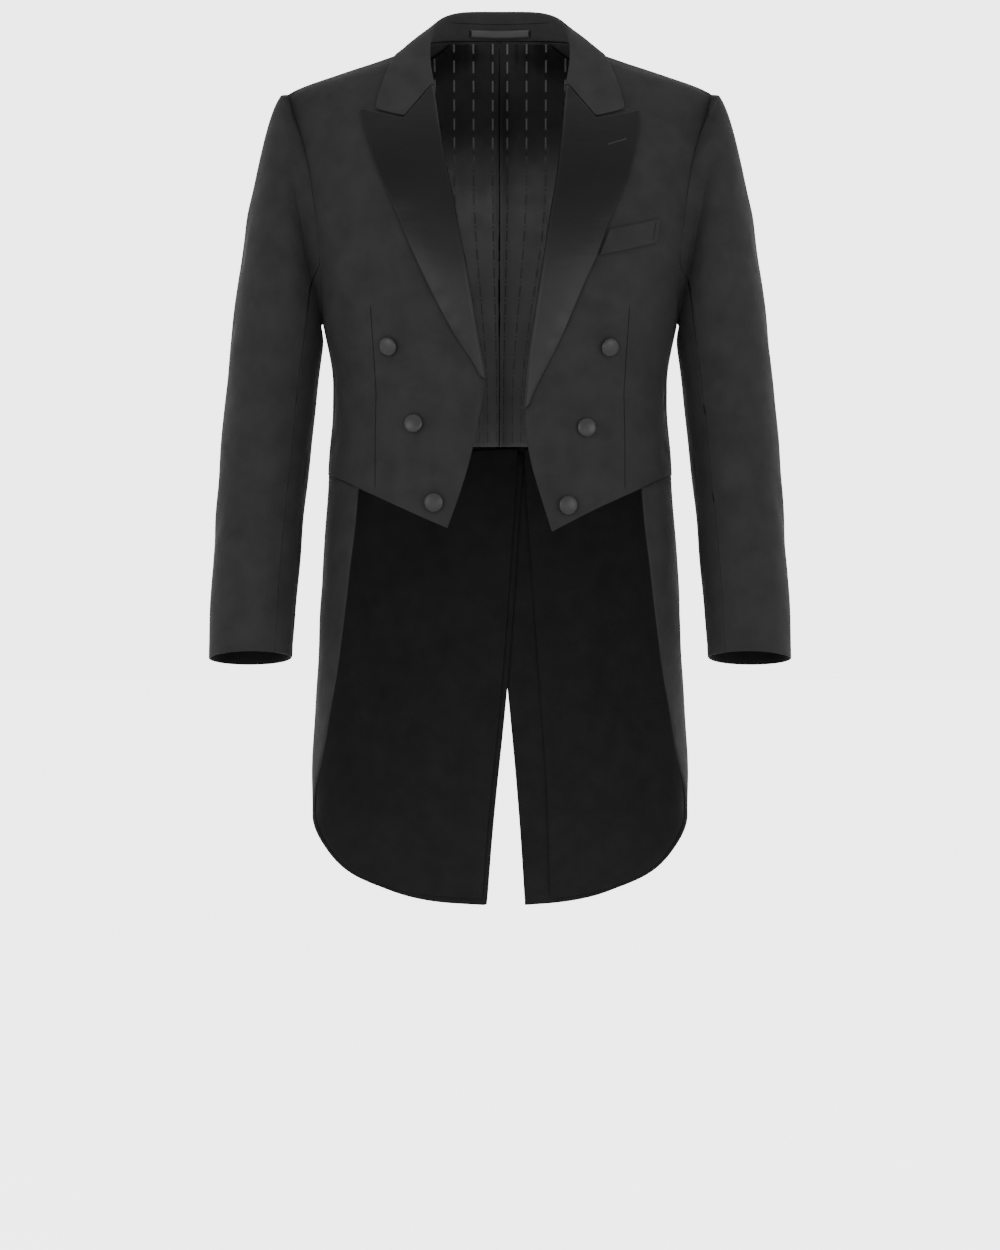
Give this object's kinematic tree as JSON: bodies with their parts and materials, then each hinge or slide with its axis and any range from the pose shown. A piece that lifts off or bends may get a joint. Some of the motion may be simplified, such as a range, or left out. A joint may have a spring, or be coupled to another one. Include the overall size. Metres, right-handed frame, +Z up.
{
  "type": "double-breasted evening tailcoat",
  "caption": "Hollow evening tailcoat in wool with satin peak lapels, covered buttons, cut-away waist and long split tails, in the form it takes when worn.",
  "frame": {"origin": "middle of the neck opening, level with the collar seam at the nape and over the shoulder seams, where a wearer's neck and shoulders hold the coat", "axes": "+Z up, +X towards the wearer's left, front of the coat towards -Y"},
  "size_m": [0.6464, 0.2704, 1.0183],
  "materials": {
    "wool": "fine matt wool twill, near black",
    "satin": "black silk satin with a soft sheen",
    "lining": "dark woven lining with a soft sheen"
  },
  "bodies": {
    "root": {"forepart_right": "wool", "forepart_left": "wool", "facing_right": "wool", "facing_left": "wool", "sidebody_right": "wool", "sidebody_left": "wool", "back_right": "wool", "back_left": "wool", "skirt_right": "wool", "skirt_left": "wool", "top_sleeve_right": "wool", "under_sleeve_right": "wool", "top_sleeve_left": "wool", "under_sleeve_left": "wool", "collar": "wool", "breast_welt": "wool", "lapel_right": "satin", "lapel_left": "satin", "button_right_1": "satin", "button_right_2": "satin", "button_right_3": "satin", "button_left_1": "satin", "button_left_2": "satin", "button_left_3": "satin", "back_lining": "lining", "tail_lining_right": "lining", "tail_lining_left": "lining", "hanger_loop": "lining"}
  },
  "joints": []
}
